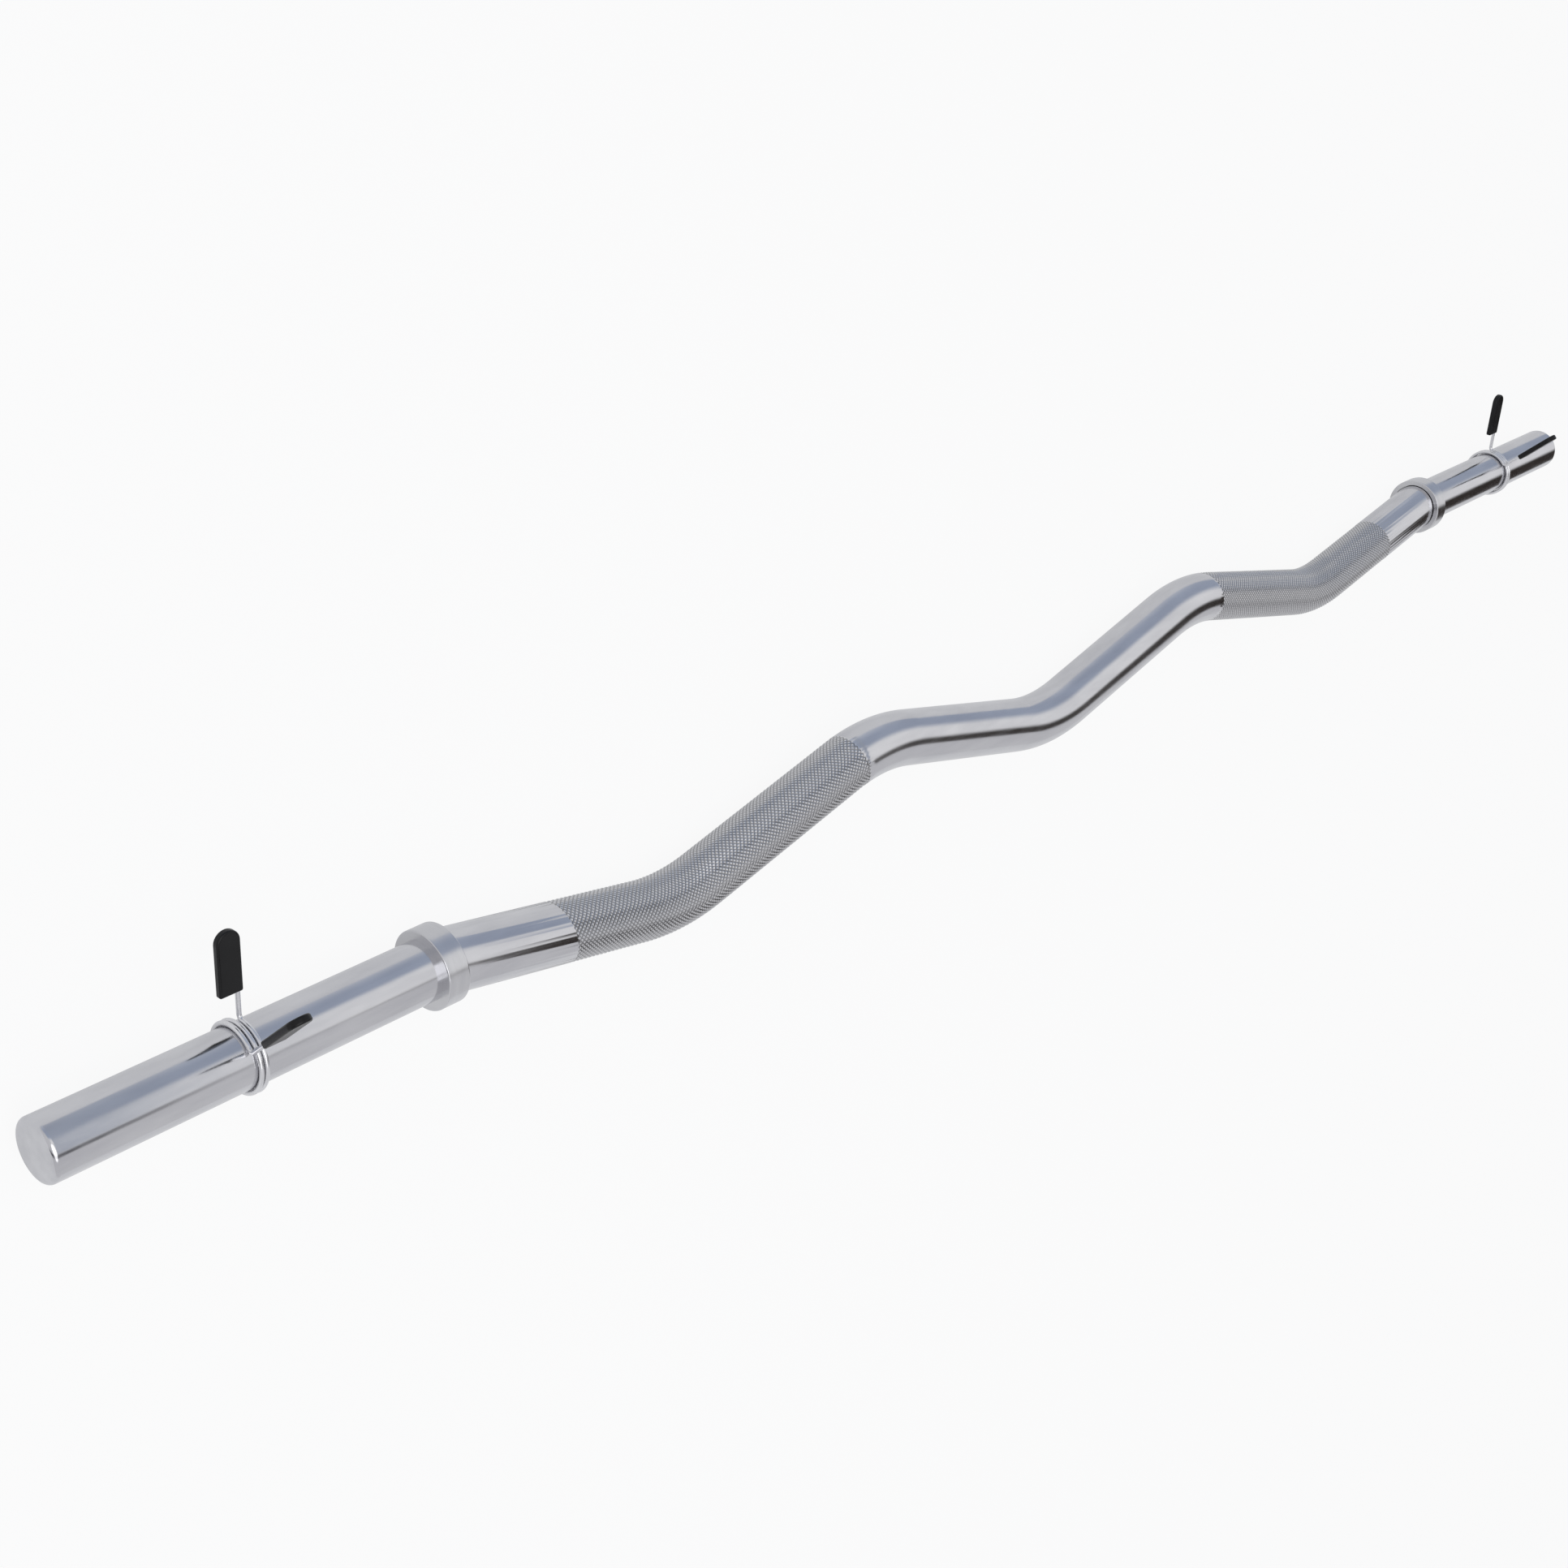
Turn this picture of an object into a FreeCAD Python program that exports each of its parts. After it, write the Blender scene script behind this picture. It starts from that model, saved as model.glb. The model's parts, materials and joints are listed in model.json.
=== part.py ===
import FreeCAD, Part
import math
import os
import re

import Sketcher

# An EZ curl bar lying on the floor: a bent solid grip shaft, a turning sleeve at each end
# and a spring clip on each sleeve.
#
# The bar is drawn in its own frame: X along the sleeves' common axis with the middle of the
# bar at zero, Y in the plane of the bends and Z square to that plane. The rest pose then
# tilts it about X until both collars and the outer bends touch the floor.

# Driving sizes, in millimetres and degrees: name, value, what it is.
SIZES = [
    ("bar_length", 1200.0, "end to end, over the end caps"),
    ("shaft_diameter", 28.0, "solid grip rod"),
    ("outer_bend_place", 282.4, "middle of the bar to the corner of the outer bend"),
    ("outer_bend_drop", 23.8, "that corner below the sleeves' axis"),
    ("inner_bend_place", 139.5, "middle of the bar to the corner of the inner bend"),
    ("inner_bend_rise", 10.0, "that corner above the sleeves' axis"),
    ("centre_bend_drop", 23.6, "corner of the middle bend below the sleeves' axis"),
    ("bend_radius", 102.0, "centre line of the rod round each bend"),
    ("journal_length", 165.0, "turned end of the shaft, from its shoulder"),
    ("journal_end_gap", 7.0, "end of the journal to the end cap"),
    ("ring_margin", 3.0, "retaining ring to the end of the journal"),
    ("ring_thickness", 1.2, "retaining ring along the journal"),
    ("ring_groove_depth", 0.7, "groove that holds the retaining ring"),
    ("ring_arc_angle", 310.0, "part of a turn that the open retaining ring covers"),
    ("washer_thickness", 1.5, "thrust washer"),
    ("washer_rim_width", 1.7, "outer thrust washer from its hole to its edge"),
    ("washer_clearance", 0.1, "washer's hole over the journal, radial"),
    ("washer_setback", 0.7, "edge of a washer or ring inside the bore or tube, radial"),
    ("end_play", 0.25, "sleeve between its thrust washers, at each end"),
    ("running_clearance", 0.05, "bushing over the journal, radial"),
    ("sleeve_diameter", 26.4, "outside of the sleeve tube, which carries the plates"),
    ("sleeve_bore", 21.0, "inside of the sleeve tube"),
    ("bushing_length", 20.0, "each bronze bushing"),
    ("collar_overhang", 0.3, "collar's inner face past the shoulder, over the shaft"),
    ("collar_width", 10.8, "collar that the plates butt against, along the bar"),
    ("collar_clearance", 0.25, "recess in the collar over the sloping shaft, radial"),
    ("collar_rim_width", 2.97, "collar from its recess to its outside"),
    ("collar_edge_radius", 0.6, "rounded outer edges of the collar"),
    ("cap_head_length", 4.0, "end cap outside the sleeve tube"),
    ("cap_spigot_length", 10.0, "end cap inside the sleeve tube"),
    ("cap_edge_radius", 2.2, "rounded rim of the end cap"),
    ("left_clip_margin", 86.8, "middle of the left clip's coil to the bar's left end"),
    ("right_clip_margin", 79.3, "middle of the right clip's coil to the bar's right end"),
    ("wire_diameter", 2.0, "spring wire of the clips"),
    ("coil_clearance", 0.3, "coil over the sleeve, radial"),
    ("coil_turn_gap", 0.5, "gap between the coil's turns"),
    ("coil_turn_angle", 766.0, "whole angle that the coil goes round"),
    ("coil_start_angle", 5.0, "first end of the coil, from the plane of the bends"),
    ("wire_bend_radius", 2.5, "wire's centre line where it leaves the coil"),
    ("grip_start_radius", 27.0, "sleeve's axis to the near end of a grip"),
    ("grip_length", 27.5, "plastic grip along its wire"),
    ("grip_width", 10.5, "plastic grip along the bar"),
    ("grip_thickness", 3.2, "plastic grip"),
    ("grip_edge_radius", 0.9, "rounded edges of the grip"),
    ("grip_wire_inset", 1.9, "wire's axis to the near side of the grip"),
    ("grip_wire_depth", 20.0, "wire inside the grip"),
    ("cut_overrun", 6.0, "how far a cut runs past what it cuts"),
    ("gap_sample_step", 0.5, "spacing of the points that the coil's gap is measured on"),
]

FULL_TURN = 360.0
SMALLEST_COIL_GAP_SHARE = 0.2
STEPS_PER_TURN = 4

doc = FreeCAD.newDocument("ez_curl_bar")
sheet = doc.addObject("Spreadsheet::Sheet", "Sizes")
for row, (name, number, note) in enumerate(SIZES, start=1):
    sheet.set(f"A{row}", name)
    sheet.set(f"B{row}", str(number))
    sheet.set(f"C{row}", note)
    sheet.setAlias(f"B{row}", name)
doc.recompute()

ALIASES = {name for name, number, note in SIZES}
sub_parts = []


def bound(text):
    """Write an expression of size names with the sheet's name before each."""
    def with_sheet(match):
        word = match.group()
        return f"Sizes.{word}" if word in ALIASES else word
    return re.sub(r"[a-z_]+", with_sheet, text)


def value(text):
    """Work out an expression of size names."""
    result = sheet.evalExpression(bound(text))
    return float(getattr(result, "Value", result))


# Places along the bar that several pieces share.
BAR_END = "bar_length / 2"
SLEEVE_END = f"({BAR_END} - cap_head_length)"
JOURNAL_END = f"({SLEEVE_END} - cap_spigot_length - journal_end_gap)"
SHOULDER = f"({JOURNAL_END} - journal_length)"
RING_END = f"({JOURNAL_END} - ring_margin)"
RING_START = f"({RING_END} - ring_thickness)"
INNER_WASHER_END = f"({SHOULDER} + washer_thickness)"
OUTER_WASHER_START = f"({RING_START} - washer_thickness)"
SLEEVE_START = f"({INNER_WASHER_END} + end_play)"
OUTER_BUSHING_END = f"({OUTER_WASHER_START} - end_play)"
COLLAR_START = f"({SHOULDER} - collar_overhang)"
COLLAR_END = f"({COLLAR_START} + collar_width)"

# Radii that several pieces share.
SLEEVE_RADIUS = "(sleeve_diameter / 2)"
BORE_RADIUS = "(sleeve_bore / 2)"
INNER_WASHER_RADIUS = f"({SLEEVE_RADIUS} - washer_setback)"
OUTER_WASHER_RADIUS = f"({BORE_RADIUS} - washer_setback)"
WASHER_HOLE_RADIUS = f"({OUTER_WASHER_RADIUS} - washer_rim_width)"
JOURNAL_RADIUS = f"({WASHER_HOLE_RADIUS} - washer_clearance)"
GROOVE_RADIUS = f"({JOURNAL_RADIUS} - ring_groove_depth)"
BUSHING_HOLE_RADIUS = f"({JOURNAL_RADIUS} + running_clearance)"
SHAFT_SLOPE = f"(outer_bend_drop / ({SHOULDER} - outer_bend_place))"
SHAFT_REACH = f"(shaft_diameter / 2 * sqrt(1 + {SHAFT_SLOPE}^2) + collar_overhang * {SHAFT_SLOPE})"
RECESS_RADIUS = f"({SHAFT_REACH} + collar_clearance)"
COLLAR_RADIUS = f"({RECESS_RADIUS} + collar_rim_width)"
ON_AXIS = "0"

# Distances of the clip's wire from the sleeve's axis.
COIL_RADIUS = f"({SLEEVE_RADIUS} + coil_clearance + wire_diameter / 2)"
COIL_PITCH = "(wire_diameter + coil_turn_gap)"
ARM_START_RADIUS = f"({COIL_RADIUS} + wire_bend_radius + wire_diameter)"
ARM_LENGTH = f"(grip_start_radius + grip_wire_depth - {ARM_START_RADIUS})"


# Sketches
def origin_plane(body, role):
    return next(item for item in body.Origin.OriginFeatures if item.Role == role)


def new_sketch(body, name, role):
    sketch = body.newObject("Sketcher::SketchObject", name)
    sketch.AttachmentSupport = [(origin_plane(body, role), "")]
    sketch.MapMode = "FlatFace"
    return sketch


def tie(sketch, constraint, expression):
    """Add a dimension and bind it to the sheet."""
    index = sketch.addConstraint(constraint)
    sketch.setExpression(f"Constraints[{index}]", bound(expression))


def place_point(sketch, geometry, point, x, y, side=1):
    """Hold a point of a sketch at x, mirrored for the left side, and y from the origin."""
    origin = (-1, 1)
    here = (geometry, point)
    first, second = (origin, here) if side > 0 else (here, origin)
    tie(sketch, Sketcher.Constraint("DistanceX", *first, *second, value(x)), x)
    if y == ON_AXIS:
        sketch.addConstraint(Sketcher.Constraint("PointOnObject", geometry, point, -1))
    elif value(y) < 0:
        upwards = f"-({y})"
        tie(sketch, Sketcher.Constraint("DistanceY", *here, *origin, value(upwards)), upwards)
    else:
        tie(sketch, Sketcher.Constraint("DistanceY", *origin, *here, value(y)), y)


def draw_outline(sketch, outline, side=1):
    """Draw a closed outline of straight lines through points given as size expressions."""
    corners = [FreeCAD.Vector(side * value(x), value(y), 0) for x, y in outline]
    lines = []
    for start, end in zip(corners, corners[1:] + corners[:1]):
        lines.append(sketch.addGeometry(Part.LineSegment(start, end)))
    for line, following in zip(lines, lines[1:] + lines[:1]):
        sketch.addConstraint(Sketcher.Constraint("Coincident", line, 2, following, 1))
    for line, (x, y) in zip(lines, outline):
        place_point(sketch, line, 1, x, y, side)


def edges_named(feature, wanted):
    """List the names of the edges of a feature that a test picks."""
    edges = enumerate(feature.Shape.Edges, start=1)
    return [f"Edge{number}" for number, edge in edges if wanted(edge)]


def is_rim(edge, x, radius):
    """Tell whether an edge is the full circle of this radius at this place along the bar."""
    curve = edge.Curve
    if not isinstance(curve, Part.Circle):
        return False
    same_place = math.isclose(curve.Center.x, x, abs_tol=Part.Precision.confusion())
    same_radius = math.isclose(curve.Radius, radius, abs_tol=Part.Precision.confusion())
    return same_place and same_radius


# Turned pieces
def add_sub_part(item, label, placement):
    item.Label = label
    sub_parts.append((item, placement))


def turned(label, outline, placement, angle=str(FULL_TURN), rims=(), rim_radius=None):
    """Make a piece turned about the sleeve's axis, with chosen rims rounded."""
    body = doc.addObject("PartDesign::Body", label)
    section = new_sketch(body, f"{label}_section", "XY_Plane")
    draw_outline(section, outline)
    turn = body.newObject("PartDesign::Revolution", f"{label}_turn")
    turn.Profile = section
    turn.ReferenceAxis = (section, ["H_Axis"])
    turn.setExpression("Angle", bound(angle))
    doc.recompute()
    if rims:
        places = [(value(x), value(radius)) for x, radius in rims]
        names = edges_named(turn, lambda edge: any(is_rim(edge, *place) for place in places))
        rounding = body.newObject("PartDesign::Fillet", f"{label}_rounding")
        rounding.Base = (turn, names)
        rounding.setExpression("Radius", bound(rim_radius))
        doc.recompute()
    add_sub_part(body, label, placement)


def ring_outline(start, end, inner, outer):
    return [(start, inner), (end, inner), (end, outer), (start, outer)]


def make_sleeve(side_name, placement):
    """Make the sleeve's own pieces: tube, collar, two bushings and the end cap."""
    tube = ring_outline(SLEEVE_START, SLEEVE_END, BORE_RADIUS, SLEEVE_RADIUS)
    turned(f"{side_name}_sleeve_tube", tube, placement)
    collar = [
        (COLLAR_START, RECESS_RADIUS),
        (SLEEVE_START, RECESS_RADIUS),
        (SLEEVE_START, SLEEVE_RADIUS),
        (COLLAR_END, SLEEVE_RADIUS),
        (COLLAR_END, COLLAR_RADIUS),
        (COLLAR_START, COLLAR_RADIUS),
    ]
    rims = [(COLLAR_START, COLLAR_RADIUS), (COLLAR_END, COLLAR_RADIUS)]
    turned(f"{side_name}_collar", collar, placement, rims=rims, rim_radius="collar_edge_radius")
    inner_end = f"{SLEEVE_START} + bushing_length"
    outer_start = f"{OUTER_BUSHING_END} - bushing_length"
    inner = ring_outline(SLEEVE_START, inner_end, BUSHING_HOLE_RADIUS, BORE_RADIUS)
    outer = ring_outline(outer_start, OUTER_BUSHING_END, BUSHING_HOLE_RADIUS, BORE_RADIUS)
    turned(f"{side_name}_inner_bushing", inner, placement)
    turned(f"{side_name}_outer_bushing", outer, placement)
    spigot_start = f"{SLEEVE_END} - cap_spigot_length"
    cap = [
        (spigot_start, ON_AXIS),
        (BAR_END, ON_AXIS),
        (BAR_END, SLEEVE_RADIUS),
        (SLEEVE_END, SLEEVE_RADIUS),
        (SLEEVE_END, BORE_RADIUS),
        (spigot_start, BORE_RADIUS),
    ]
    rims = [(BAR_END, SLEEVE_RADIUS)]
    turned(f"{side_name}_end_cap", cap, placement, rims=rims, rim_radius="cap_edge_radius")


def make_retention(side_name, placement):
    """Make what keeps a sleeve on its journal: two thrust washers and a retaining ring."""
    inner = ring_outline(SHOULDER, INNER_WASHER_END, WASHER_HOLE_RADIUS, INNER_WASHER_RADIUS)
    outer = ring_outline(OUTER_WASHER_START, RING_START, WASHER_HOLE_RADIUS, OUTER_WASHER_RADIUS)
    ring = ring_outline(RING_START, RING_END, GROOVE_RADIUS, OUTER_WASHER_RADIUS)
    turned(f"{side_name}_inner_thrust_washer", inner, placement)
    turned(f"{side_name}_outer_thrust_washer", outer, placement)
    turned(f"{side_name}_retaining_ring", ring, placement, angle="ring_arc_angle")


# Grip shaft
SHAFT_CORNERS = [
    (-1, "outer_bend_place", "-outer_bend_drop"),
    (-1, "inner_bend_place", "inner_bend_rise"),
    (1, "0", "-centre_bend_drop"),
    (1, "inner_bend_place", "inner_bend_rise"),
    (1, "outer_bend_place", "-outer_bend_drop"),
]


def bend_arc(before, corner, after, radius):
    """Give the arc of this radius that rounds a corner between two straight runs."""
    into = (corner - before).normalize()
    out_of = (after - corner).normalize()
    half_turn = into.getAngle(out_of) / 2
    reach = radius * math.tan(half_turn)
    start = corner - into * reach
    end = corner + out_of * reach
    inward = (out_of - into).normalize()
    middle = corner + inward * (radius / math.cos(half_turn) - radius)
    return start, middle, end


def draw_shaft_path(sketch):
    """Draw the rod's centre line: straight runs joined by tangent bends."""
    corners = [FreeCAD.Vector(side * value(x), value(y), 0) for side, x, y in SHAFT_CORNERS]
    foot = FreeCAD.Vector(value(SHOULDER), 0, 0)
    slope = (foot - corners[-1]).normalize()
    right_end = foot + slope * (value("cut_overrun") / slope.x)
    left_end = FreeCAD.Vector(-right_end.x, right_end.y, 0)
    stops = [left_end] + corners + [right_end]
    runs = []
    bends = []
    start = left_end
    for before, corner, after in zip(stops, stops[1:], stops[2:]):
        arc = bend_arc(before, corner, after, value("bend_radius"))
        runs.append(sketch.addGeometry(Part.LineSegment(start, arc[0])))
        bends.append(sketch.addGeometry(Part.Arc(*arc)))
        start = arc[2]
    runs.append(sketch.addGeometry(Part.LineSegment(start, right_end)))
    for number, bend in enumerate(bends):
        before, after = runs[number], runs[number + 1]
        join_tangent(sketch, before, 2, bend)
        join_tangent(sketch, after, 1, bend)
        tie(sketch, Sketcher.Constraint("Radius", bend, value("bend_radius")), "bend_radius")
        mark = sketch.addGeometry(Part.Point(corners[number]), True)
        sketch.addConstraint(Sketcher.Constraint("PointOnObject", mark, 1, before))
        sketch.addConstraint(Sketcher.Constraint("PointOnObject", mark, 1, after))
        side, x, y = SHAFT_CORNERS[number]
        if x == "0":
            sketch.addConstraint(Sketcher.Constraint("PointOnObject", mark, 1, -2))
            drop = "centre_bend_drop"
            tie(sketch, Sketcher.Constraint("DistanceY", mark, 1, -1, 1, value(drop)), drop)
        else:
            place_point(sketch, mark, 1, x, y, side)
    end_place = f"{SHOULDER} + cut_overrun"
    for side, run, point in ((-1, runs[0], 1), (1, runs[-1], 2)):
        mark = sketch.addGeometry(Part.Point(FreeCAD.Vector(side * foot.x, 0, 0)), True)
        sketch.addConstraint(Sketcher.Constraint("PointOnObject", mark, 1, run))
        place_point(sketch, mark, 1, SHOULDER, ON_AXIS, side)
        first, second = ((-1, 1), (run, point)) if side > 0 else ((run, point), (-1, 1))
        reach = Sketcher.Constraint("DistanceX", *first, *second, value(end_place))
        tie(sketch, reach, end_place)


def join_tangent(sketch, run, run_point, bend):
    """Join the end of a straight run to the nearer end of a bend, without a corner."""
    here = sketch.getPoint(run, run_point)
    ends = {point: sketch.getPoint(bend, point).distanceToPoint(here) for point in (1, 2)}
    nearer = min(ends, key=ends.get)
    sketch.addConstraint(Sketcher.Constraint("Tangent", run, run_point, bend, nearer))


def make_shaft(placement):
    """Make the bent rod, trim its ends square to the sleeves and add the journals."""
    label = "grip_shaft"
    body = doc.addObject("PartDesign::Body", label)
    path = new_sketch(body, "shaft_path", "XY_Plane")
    draw_shaft_path(path)
    doc.recompute()
    section = body.newObject("Sketcher::SketchObject", "shaft_section")
    section.AttachmentSupport = [(path, "Edge1")]
    section.MapMode = "NormalToEdge"
    section.MapPathParameter = 0
    origin = FreeCAD.Vector(0, 0, 0)
    facing = FreeCAD.Vector(0, 0, 1)
    circle = section.addGeometry(Part.Circle(origin, facing, value("shaft_diameter / 2")))
    section.addConstraint(Sketcher.Constraint("Coincident", circle, 3, -1, 1))
    diameter = Sketcher.Constraint("Diameter", circle, value("shaft_diameter"))
    tie(section, diameter, "shaft_diameter")
    doc.recompute()
    rod = body.newObject("PartDesign::AdditivePipe", "shaft_rod")
    rod.Profile = section
    rod.Spine = (path, edges_named(path, lambda edge: True))
    doc.recompute()
    untrimmed = rod.Shape.Volume
    trim_sketch = new_sketch(body, "shaft_end_trim", "XY_Plane")
    trim_end = f"{SHOULDER} + cut_overrun + shaft_diameter"
    for side in (-1, 1):
        waste = ring_outline(SHOULDER, trim_end, ON_AXIS, "shaft_diameter")
        draw_outline(trim_sketch, waste, side)
    trim = body.newObject("PartDesign::Groove", "shaft_end_cut")
    trim.Profile = trim_sketch
    trim.ReferenceAxis = (trim_sketch, ["H_Axis"])
    trim.Angle = FULL_TURN
    doc.recompute()
    if not trim.Shape.Volume < untrimmed:
        raise RuntimeError("the shaft's ends were not trimmed")
    journal_sketch = new_sketch(body, "journal_section", "XY_Plane")
    journal = [
        (SHOULDER, ON_AXIS),
        (JOURNAL_END, ON_AXIS),
        (JOURNAL_END, JOURNAL_RADIUS),
        (RING_END, JOURNAL_RADIUS),
        (RING_END, GROOVE_RADIUS),
        (RING_START, GROOVE_RADIUS),
        (RING_START, JOURNAL_RADIUS),
        (SHOULDER, JOURNAL_RADIUS),
    ]
    for side in (-1, 1):
        draw_outline(journal_sketch, journal, side)
    journals = body.newObject("PartDesign::Revolution", "journals")
    journals.Profile = journal_sketch
    journals.ReferenceAxis = (journal_sketch, ["H_Axis"])
    journals.Angle = FULL_TURN
    doc.recompute()
    add_sub_part(body, label, placement)


# Spring clips
def around(angle):
    """Give the directions away from the axis and onwards round it at an angle in radians."""
    away = FreeCAD.Vector(0, math.cos(angle), math.sin(angle))
    onwards = FreeCAD.Vector(0, -math.sin(angle), math.cos(angle))
    return away, onwards


def coil_point(angle):
    """Give the coil's centre line and its direction at an angle from its middle."""
    start = math.radians(value("coil_start_angle + coil_turn_angle / 2"))
    climb = value(COIL_PITCH) / (2 * math.pi)
    radius = value(COIL_RADIUS)
    away, onwards = around(start + angle)
    place = away * radius + FreeCAD.Vector(-climb * angle, 0, 0)
    heading = (onwards * radius + FreeCAD.Vector(-climb, 0, 0)).normalize()
    return place, heading, away


def tangent_arc(start, corner, end):
    """Give the arc from start to end whose end tangents meet at the corner."""
    chord = end - start
    middle = (start + end) * 0.5
    half_angle = chord.getAngle(corner - start)
    rise = chord.Length / 2 * math.tan(half_angle / 2)
    return Part.Arc(start, middle + (corner - middle).normalize() * rise, end).toShape()


def biarc(start, heading, end, end_heading):
    """Join two points with two tangent arcs that keep both headings."""
    chord = end - start
    both = heading + end_heading
    bend = 2 * (1 - heading.dot(end_heading))
    along = chord.dot(both)
    reach = (math.sqrt(along * along + bend * chord.dot(chord)) - along) / bend
    first_corner = start + heading * reach
    second_corner = end - end_heading * reach
    joint = (first_corner + second_corner) * 0.5
    return [tangent_arc(start, first_corner, joint), tangent_arc(joint, second_corner, end)]


def arm_root(end):
    """Give where a wire arm leaves the coil's bend and its direction, for end -1 or 1."""
    half_angle = math.radians(value("coil_turn_angle")) / 2
    place, heading, away = coil_point(end * half_angle)
    radius = value("wire_bend_radius")
    return place + heading * (end * radius) + away * radius, away


def coil_path():
    """Draw the wire's centre line: a straight end, a bend, the turns, a bend, a straight end."""
    half_angle = math.radians(value("coil_turn_angle")) / 2
    radius = value("wire_bend_radius")
    straight = value("wire_diameter")
    steps = math.ceil(value("coil_turn_angle") / FULL_TURN * STEPS_PER_TURN)
    angles = [half_angle * (2 * step / steps - 1) for step in range(steps + 1)]
    stations = [coil_point(angle) for angle in angles]
    root, away = arm_root(-1)
    first_place, first_heading, first_away = stations[0]
    edges = [Part.LineSegment(root + away * straight, root).toShape()]
    edges.append(tangent_arc(root, first_place - first_heading * radius, first_place))
    for (start, heading, start_away), (end, end_heading, end_away) in zip(stations, stations[1:]):
        edges.extend(biarc(start, heading, end, end_heading))
    last_place, last_heading, last_away = stations[-1]
    root, away = arm_root(1)
    edges.append(tangent_arc(last_place, last_place + last_heading * radius, root))
    edges.append(Part.LineSegment(root, root + away * straight).toShape())
    return Part.Wire(edges)


def least_gap(path):
    """Measure the coil's least gap to itself on points along its centre line."""
    step = value("gap_sample_step")
    points = path.discretize(Distance=step)
    apart = math.ceil(math.pi * value(COIL_RADIUS) / step)
    least = min(
        points[first].distanceToPoint(points[second])
        for first in range(len(points))
        for second in range(first + apart, len(points))
    )
    return least - value("wire_diameter")


def make_coil(label, placement):
    """Make the clip's coil as one unbroken tube along its path."""
    path = coil_path()
    start = path.OrderedVertexes[0].Point
    root, away = arm_root(-1)
    section = Part.Wire(Part.Circle(start, away, value("wire_diameter / 2")).toShape())
    pipe = Part.BRepOffsetAPI.MakePipeShell(path)
    pipe.add(section)
    pipe.build()
    pipe.makeSolid()
    coil = doc.addObject("Part::Feature", label)
    coil.Shape = pipe.shape()
    expected = math.pi * value("wire_diameter / 2") ** 2 * path.Length
    gap = least_gap(path)
    print(f"{label}: volume over section times length {coil.Shape.Volume / expected:.4f}")
    print(f"{label}: least gap to itself {gap:.3f} mm")
    if gap < SMALLEST_COIL_GAP_SHARE * value("wire_diameter"):
        raise RuntimeError("the coil's turns are too close")
    add_sub_part(coil, label, placement)


def facing(away, width_direction, root):
    """Give the placement of a piece whose X runs along the bar and whose Y runs outwards."""
    across = FreeCAD.Vector(width_direction, 0, 0)
    rotation = FreeCAD.Rotation(across, away, across.cross(away), "XYZ")
    return FreeCAD.Placement(root, rotation)


def make_arm(label, end, placement):
    """Make the straight wire from the coil's end into its grip."""
    root, away = arm_root(end)
    straight = value("wire_diameter")
    rotation = FreeCAD.Rotation(FreeCAD.Vector(0, 0, 1), away)
    local = FreeCAD.Placement(root + away * straight, rotation)
    arm = doc.addObject("Part::Cylinder", label)
    arm.setExpression("Radius", bound("wire_diameter / 2"))
    arm.setExpression("Height", bound(ARM_LENGTH))
    add_sub_part(arm, label, placement.multiply(local))


def draw_grip_outline(sketch):
    """Draw a flat grip with a full-round far end; the wire comes in at the origin."""
    inset = value("grip_wire_inset")
    far_side = value("grip_width - grip_wire_inset")
    middle = value("grip_width / 2 - grip_wire_inset")
    shoulder = value("grip_length - grip_width / 2")
    near_corner = FreeCAD.Vector(-inset, 0, 0)
    far_corner = FreeCAD.Vector(far_side, 0, 0)
    far_shoulder = FreeCAD.Vector(far_side, shoulder, 0)
    top = FreeCAD.Vector(middle, value("grip_length"), 0)
    near_shoulder = FreeCAD.Vector(-inset, shoulder, 0)
    base = sketch.addGeometry(Part.LineSegment(near_corner, far_corner))
    far = sketch.addGeometry(Part.LineSegment(far_corner, far_shoulder))
    end = sketch.addGeometry(Part.Arc(far_shoulder, top, near_shoulder))
    near = sketch.addGeometry(Part.LineSegment(near_shoulder, near_corner))
    sketch.addConstraint(Sketcher.Constraint("Coincident", base, 2, far, 1))
    sketch.addConstraint(Sketcher.Constraint("Coincident", near, 2, base, 1))
    join_tangent(sketch, far, 2, end)
    join_tangent(sketch, near, 1, end)
    sketch.addConstraint(Sketcher.Constraint("Horizontal", base))
    sketch.addConstraint(Sketcher.Constraint("Vertical", far))
    sketch.addConstraint(Sketcher.Constraint("Vertical", near))
    sketch.addConstraint(Sketcher.Constraint("PointOnObject", base, 1, -1))
    tie(sketch, Sketcher.Constraint("DistanceX", base, 1, -1, 1, inset), "grip_wire_inset")
    width = value("grip_width")
    tie(sketch, Sketcher.Constraint("DistanceX", base, 1, base, 2, width), "grip_width")
    centre_place = "grip_length - grip_width / 2"
    tie(sketch, Sketcher.Constraint("DistanceY", -1, 1, end, 3, shoulder), centre_place)


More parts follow.
